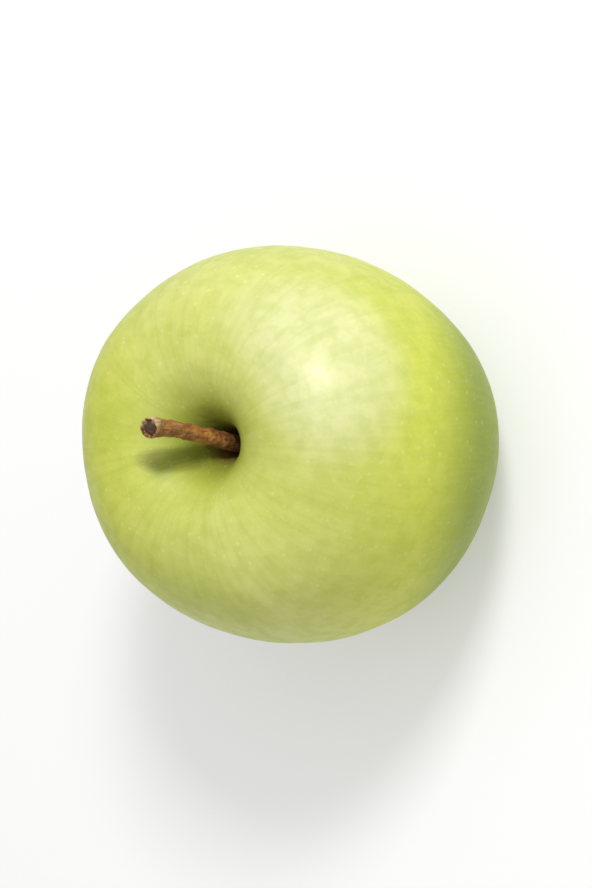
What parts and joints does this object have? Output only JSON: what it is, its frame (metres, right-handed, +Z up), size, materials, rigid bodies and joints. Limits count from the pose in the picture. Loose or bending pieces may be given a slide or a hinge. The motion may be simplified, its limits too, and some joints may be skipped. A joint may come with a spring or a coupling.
{
  "type": "apple",
  "caption": "Whole green apple standing on its calyx lobes, with a bent woody stem in its cavity and dried sepals and stamens in the eye below.",
  "frame": {"origin": "on the surface the apple stands on, under the middle of the fruit's box", "axes": "+Z up from the calyx to the stem; the stem's knob leans towards +Y and a little towards +X"},
  "size_m": [0.0746, 0.0758, 0.0722],
  "materials": {
    "skin": "pale yellow-green apple skin with a natural satin wax, fine pale dots and russet in the stem cavity",
    "stem_bark": "dry reddish-brown bark, matte, with a paler broken end",
    "dried_sepal": "dry withered leaf, matte, with pale down",
    "dried_stamen": "dry dark brown threads, matte"
  },
  "bodies": {
    "root": {"fruit": "skin", "stem": "stem_bark", "sepal_1": "dried_sepal", "sepal_2": "dried_sepal", "sepal_3": "dried_sepal", "sepal_4": "dried_sepal", "sepal_5": "dried_sepal", "stamens": "dried_stamen"}
  },
  "joints": []
}
